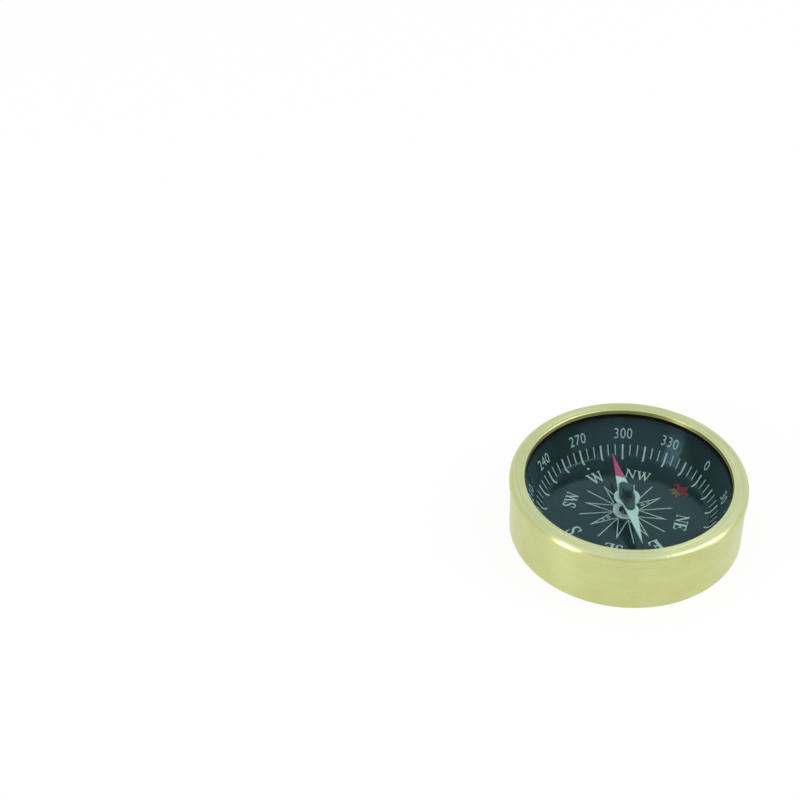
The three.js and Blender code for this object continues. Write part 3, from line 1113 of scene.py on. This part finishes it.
capSpec = {
    "seat": 8.0 * mm,
    "radius": 1.28 * mm,
    "topRound": 0.6 * mm,
    "spigotRadius": 1.15 * mm,
    "boreRadius": 0.75 * mm,
    "boreTop": 10.55 * mm,
    "flangeRadius": 1.7 * mm,  # beside the dome
    "flangeHeight": 0.6 * mm,
    "flangeRound": 0.28 * mm,
    "lugReach": 4.3 * mm,
    "lugRadius": 0.95 * mm,
    "arcSteps": 16,
}


def makeFlange(spec):  # runs straight from the dome's sides into a round lug at each end
    middle = spec["lugReach"] - spec["lugRadius"]
    lean = math.asin((spec["flangeRadius"] - spec["lugRadius"]) / middle)
    arcs = [
        (middle, spec["lugRadius"], lean, math.pi - lean),
        (0, spec["flangeRadius"], math.pi - lean, math.pi + lean),
    ]
    spots = []
    for side in (1, -1):
        for centre, radius, first, last in arcs:
            turns = sweep(first, last, spec["arcSteps"])
            spots += [(side * x, side * y) for x, y in arc(centre, radius, turns)]
    bm = bmesh.new()
    bm.faces.new([bm.verts.new((x, y, spec["seat"])) for x, y in spots])
    raiseFlat(bm, spec["flangeHeight"])
    softenTop(bm, spec["seat"] + spec["flangeHeight"], spec["flangeRound"])
    turnToHeading(bm)
    mesh = bpy.data.meshes.new("flange")
    bm.to_mesh(mesh)
    bm.free()
    flange = bpy.data.objects.new("flange", mesh)
    scene.collection.objects.link(flange)
    return flange


def makeCap(spec):
    low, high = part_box("needle_cap")
    outline = [
        (0, spec["boreTop"]),
        (spec["boreRadius"], spec["boreTop"]),
        (spec["boreRadius"], low.z),
        (spec["spigotRadius"], low.z),
        (spec["spigotRadius"], spec["seat"]),
        (spec["radius"], spec["seat"]),
        (spec["radius"], high.z, spec["topRound"]),
        (0, high.z),
    ]
    bm = turnOutline(outline, shop["smallSteps"])
    cap = addPiece("needleCap", bm, [capBlack], "needle", ["needle_cap"])
    flange = makeFlange(spec)
    union = cap.modifiers.new("flange", "BOOLEAN")
    union.operation = "UNION"
    union.solver = "EXACT"
    union.object = flange
    shown = cap.evaluated_get(bpy.context.evaluated_depsgraph_get())
    mesh = bpy.data.meshes.new_from_object(shown)
    cap.modifiers.clear()
    cap.data = mesh
    mesh.shade_smooth()
    mesh.set_sharp_from_angle(angle=shop["sharpAngle"])
    bpy.data.objects.remove(flange)


jewelSpec = {
    "cupRadius": 0.4 * mm,
    "cupDepth": 0.6 * mm,
    "cupProfile": ((0, 1), (0.35, 0.9), (0.75, 0.5), (1, 0)),  # shares of the radius and the depth
    "edgeRound": 0.08 * mm,
}


def makeJewel(spec):
    low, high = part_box("needle_jewel")
    outline = [
        (spec["cupRadius"] * out, low.z + spec["cupDepth"] * up)
        for out, up in spec["cupProfile"]
    ]
    outline += [
        (high.x, low.z, spec["edgeRound"]),
        (high.x, high.z, spec["edgeRound"]),
        (0, high.z),
    ]
    bm = turnOutline(outline, shop["smallSteps"])
    addPiece("needleJewel", bm, [jewelGlass], "bearing", ["needle_jewel"])


collarSpec = {"holeRadius": 1.2 * mm, "footRound": 0.1 * mm}


def makeCollar(spec):
    low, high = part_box("needle_collar")
    outline = [
        (spec["holeRadius"], low.z),
        (high.x, low.z, spec["footRound"]),
        (high.x, high.z),
        (spec["holeRadius"], high.z),
    ]
    bm = turnOutline(outline, shop["smallSteps"])
    addPiece("needleCollar", bm, [smallBrass], "needle", ["needle_collar"])


makeBlade(needleSpec)
makeCap(capSpec)
makeJewel(jewelSpec)
makeCollar(collarSpec)
print("needle made")


# Stage, light and camera

stageSpec = {
    "floorSize": 6.0,
    "floorColour": (0.93, 0.93, 0.93, 1),
    "floorRoughness": 0.9,
    "whiteness": 0.92,  # share of plain white in the floor that the camera and the metal see
    "floorDrop": 0.02 * mm,
    "photoTurn": math.radians(64.6),  # from the photograph's right and away to the dial's east and north
}

photoTurn = Matrix.Rotation(stageSpec["photoTurn"], 4, "Z")


def mirroredRay(tree, path):  # 1 for what is seen in metal or through glass
    rays = {0: path.outputs["Is Glossy Ray"], 1: path.outputs["Is Transmission Ray"]}
    return addNode(tree, "ShaderNodeMath", rays, operation="MAXIMUM").outputs[0]


def seenRay(tree):  # 1 for what the camera sees straight, in metal or through glass
    path = addNode(tree, "ShaderNodeLightPath")
    rays = {0: mirroredRay(tree, path), 1: path.outputs["Is Camera Ray"]}
    return addNode(tree, "ShaderNodeMath", rays, operation="MAXIMUM").outputs[0]


def beforeBounce(tree, depth):  # 1 for light that has made none of these bounces
    return addNode(tree, "ShaderNodeMath", {0: depth, 1: 0.5}, operation="LESS_THAN").outputs[0]


def makeFloor(spec):
    bm = bmesh.new()
    bmesh.ops.create_grid(bm, x_segments=1, y_segments=1, size=spec["floorSize"] / 2)
    bmesh.ops.translate(bm, verts=bm.verts[:], vec=(0, 0, -spec["floorDrop"]))
    mesh = bpy.data.meshes.new("floor")
    bm.to_mesh(mesh)
    bm.free()
    finish, tree, skin = startFinish("paleFloor")
    feed(tree, skin, {
        "Base Color": spec["floorColour"],
        "Roughness": spec["floorRoughness"],
        "Specular IOR Level": 0.0,
    })
    seen = addNode(tree, "ShaderNodeMath", {0: seenRay(tree), 1: spec["whiteness"]}, operation="MULTIPLY")
    white = addNode(tree, "ShaderNodeEmission", {"Color": (1, 1, 1, 1), "Strength": 1.0})
    mixSurface(tree, seen.outputs[0], skin, white)
    mesh.materials.append(finish)
    floor = bpy.data.objects.new("floor", mesh)
    scene.collection.objects.link(floor)


worldSpec = {
    "ambient": 0.82,
    "horizon": 1.0,
    "overhead": 0.85,  # how bright the room looks above the white sweep
    "sweep": (0.05, 0.35),  # sines of the heights between which the sweep fades out
}


def makeWorld(spec):
    world = bpy.data.worlds.new("studio")
    scene.world = world
    world.use_nodes = True
    tree = world.node_tree
    tree.nodes.clear()
    path = addNode(tree, "ShaderNodeLightPath")
    way = addNode(tree, "ShaderNodeTexCoord").outputs["Generated"]
    height = addNode(tree, "ShaderNodeSeparateXYZ", {0: way}).outputs["Z"]
    tone = remap(tree, height, spec["horizon"], spec["overhead"], *spec["sweep"])
    glossy = addNode(tree, "ShaderNodeBackground", {"Color": (1, 1, 1, 1), "Strength": tone})
    plain = addNode(tree, "ShaderNodeBackground", {"Color": (1, 1, 1, 1), "Strength": 1.0})
    ambient = addNode(tree, "ShaderNodeBackground", {"Color": (1, 1, 1, 1), "Strength": spec["ambient"]})
    indirect = {0: mirroredRay(tree, path), 1: ambient.outputs[0], 2: glossy.outputs[0]}
    shine = addNode(tree, "ShaderNodeMixShader", indirect)
    direct = {0: path.outputs["Is Camera Ray"], 1: shine.outputs[0], 2: plain.outputs[0]}
    seen = addNode(tree, "ShaderNodeMixShader", direct)
    output = addNode(tree, "ShaderNodeOutputWorld")
    tree.links.new(seen.outputs[0], output.inputs["Surface"])


# Places in the photograph's frame, sizes as width and height, all in metres, and power in watts
lampSpec = {  # shine is what a lamp gains where it isn't seen through glass
    "rightSoftbox": {"place": (0.58, -0.10, 0.58), "size": (0.17, 0.8), "power": 1.3, "shine": 0.4},
    "leftSoftbox": {"place": (-0.60, -0.36, 0.25), "size": (0.22, 0.45), "power": 0.75, "shine": 1.2},
}


def makeLamps(spec):
    for name, values in spec.items():
        light = bpy.data.lights.new(name, "AREA")
        light.shape = "RECTANGLE"
        light.size, light.size_y = values["size"]
        light.energy = values["power"]
        light.use_nodes = True
        tree = light.node_tree
        glow = next(node for node in tree.nodes if node.type == "EMISSION")
        path = addNode(tree, "ShaderNodeLightPath")
        bare = beforeBounce(tree, path.outputs["Transmission Depth"])
        # the glass lets lamp light through already, so matt faces under it don't find the lamp again
        first = beforeBounce(tree, path.outputs["Diffuse Depth"])
        level = {0: bare, 1: values["shine"], 2: first}
        strength = addNode(tree, "ShaderNodeMath", level, operation="MULTIPLY_ADD")
        feed(tree, glow, {"Strength": strength.outputs[0]})
        lamp = bpy.data.objects.new(name, light)
        scene.collection.objects.link(lamp)
        place = photoTurn @ Vector(values["place"])
        lamp.location = place
        lamp.rotation_euler = place.to_track_quat("Z", "Y").to_euler()


cameraSpec = {
    "place": (-48.05 * mm, -262.60 * mm, 251.04 * mm),  # in the photograph's frame
    "pitch": math.radians(39.23),
    "roll": math.radians(-1.57),
    "lens": 74.97,
    "sensor": 36.0,
    "nearest": 5 * mm,  # what the camera still sees
}


def makeCamera(spec):
    lens = bpy.data.cameras.new("camera")
    lens.lens = spec["lens"]
    lens.sensor_width = spec["sensor"]
    lens.clip_start = spec["nearest"]
    camera = bpy.data.objects.new("camera", lens)
    scene.collection.objects.link(camera)
    tilt = Matrix.Rotation(math.pi / 2 - spec["pitch"], 4, "X") @ Matrix.Rotation(spec["roll"], 4, "Z")
    camera.matrix_world = photoTurn @ Matrix.Translation(spec["place"]) @ tilt
    scene.camera = camera


makeFloor(stageSpec)
makeWorld(worldSpec)
makeLamps(lampSpec)
makeCamera(cameraSpec)
scene.view_settings.view_transform = "Standard"
print("stage made")
